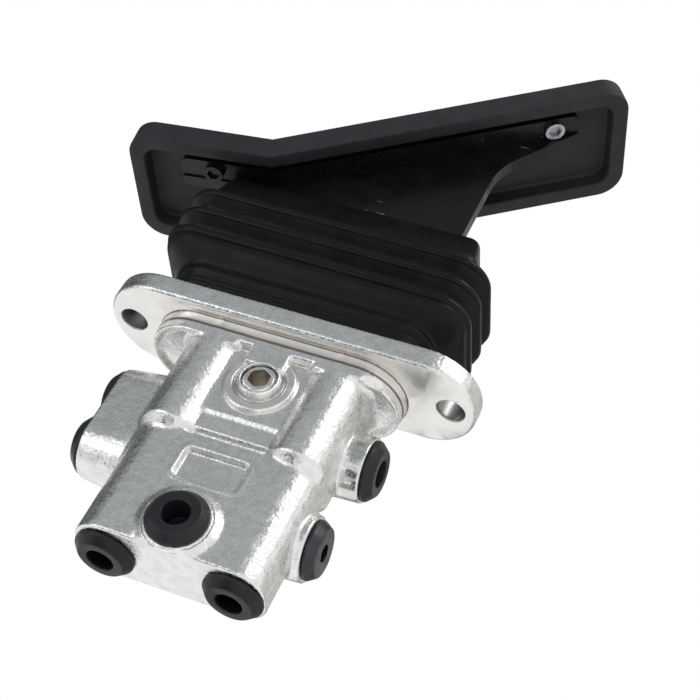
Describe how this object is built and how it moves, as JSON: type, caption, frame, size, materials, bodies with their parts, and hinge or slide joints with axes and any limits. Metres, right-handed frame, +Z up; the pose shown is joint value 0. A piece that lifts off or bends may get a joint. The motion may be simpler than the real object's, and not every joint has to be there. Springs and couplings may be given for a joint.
{
  "type": "hydraulic pilot control valve",
  "caption": "Foot-operated hydraulic pilot valve: cast aluminium body with plugged ports, mounting flange, bellows boot and a rubber-padded heel-and-toe rocker pedal.",
  "frame": {"origin": "on the underside of the mounting flange, midway between its two bolt holes", "axes": "+Z up from the body to the pedal, +X to the toe end of the pedal, -Y to the side with the front port"},
  "size_m": [0.1786, 0.0538, 0.2641],
  "materials": {
    "cast_aluminium": "as cast, machined on the underside of the flange and at the ports",
    "cast_cover": "as cast",
    "moulded_cap": "moulded, satin",
    "black_oxide_steel": "blackened, satin",
    "boot_rubber": "moulded, slight sheen",
    "pad_rubber": "moulded, matt",
    "black_paint": "gloss black paint with scratches",
    "zinc_plated_steel": "zinc plated",
    "ground_steel": "ground",
    "spring_steel": "oiled wire",
    "bearing_bronze": "machined",
    "seal_rubber": "moulded"
  },
  "bodies": {
    "housing": {"boot": "boot_rubber", "cover_screw_heel_back": "black_oxide_steel", "cover_screw_heel_front": "black_oxide_steel", "cover_screw_toe_back": "black_oxide_steel", "cover_screw_toe_front": "black_oxide_steel", "front_socket_plug": "zinc_plated_steel", "guide_ring_heel": "seal_rubber", "guide_ring_toe": "seal_rubber", "metering_spring_heel": "spring_steel", "metering_spring_toe": "spring_steel", "pivot_bush_back": "bearing_bronze", "pivot_bush_front": "bearing_bronze", "pivot_cover": "cast_cover", "plunger_guide_heel": "ground_steel", "plunger_guide_toe": "ground_steel", "port_cap_bottom_heel": "moulded_cap", "port_cap_bottom_toe": "moulded_cap", "port_cap_front": "moulded_cap", "port_cap_heel_lower": "moulded_cap", "port_cap_heel_upper": "moulded_cap", "port_cap_toe_upper": "moulded_cap", "port_plug_toe_lower": "black_oxide_steel", "return_spring_heel": "spring_steel", "return_spring_toe": "spring_steel", "rod_seal_heel": "seal_rubber", "rod_seal_toe": "seal_rubber", "valve_body": "cast_aluminium"},
    "pedal": {"rocker": "black_oxide_steel", "shaft_set_screw": "black_oxide_steel", "pivot_shaft": "ground_steel", "pedal_bracket": "black_paint", "pedal_pad": "pad_rubber", "rocker_bolt_heel": "zinc_plated_steel", "rocker_bolt_toe": "zinc_plated_steel", "pad_screw_heel": "zinc_plated_steel", "pad_screw_middle": "zinc_plated_steel", "pad_screw_toe": "zinc_plated_steel"},
    "push_rod_heel_group": {"push_rod_heel": "ground_steel", "spring_seat_heel": "ground_steel"},
    "spool_heel_group": {"spool_heel": "ground_steel"},
    "push_rod_toe_group": {"push_rod_toe": "ground_steel", "spring_seat_toe": "ground_steel"},
    "spool_toe_group": {"spool_toe": "ground_steel"}
  },
  "joints": [
    {"name": "pedal_tilt", "type": "hinge", "parent": "housing", "child": "pedal", "pos_m": [0, 0, 0.04], "axis": [0, 1, 0], "range_deg": [-12, 12], "stiffness_Nm_per_rad": 20, "deforming": ["boot"]},
    {"name": "push_rod_slide_heel", "type": "slide", "parent": "housing", "child": "push_rod_heel_group", "axis": [0, 0, 1], "range_m": [-0.0051, 0.0051], "deforming": ["return_spring_heel", "metering_spring_heel"]},
    {"name": "spool_slide_heel", "type": "slide", "parent": "housing", "child": "spool_heel_group", "axis": [0, 0, 1], "range_m": [-0.0013, 0.0013]},
    {"name": "push_rod_slide_toe", "type": "slide", "parent": "housing", "child": "push_rod_toe_group", "axis": [0, 0, 1], "range_m": [-0.0051, 0.0051], "deforming": ["return_spring_toe", "metering_spring_toe"]},
    {"name": "spool_slide_toe", "type": "slide", "parent": "housing", "child": "spool_toe_group", "axis": [0, 0, 1], "range_m": [-0.0013, 0.0013]}
  ],
  "couplings": [
    {"joint": "push_rod_slide_heel", "follows": "pedal_tilt", "m_per_rad": 0.0238},
    {"joint": "spool_slide_heel", "follows": "pedal_tilt", "m_per_rad": 0.00573},
    {"joint": "push_rod_slide_toe", "follows": "pedal_tilt", "m_per_rad": -0.0238},
    {"joint": "spool_slide_toe", "follows": "pedal_tilt", "m_per_rad": -0.00573}
  ]
}
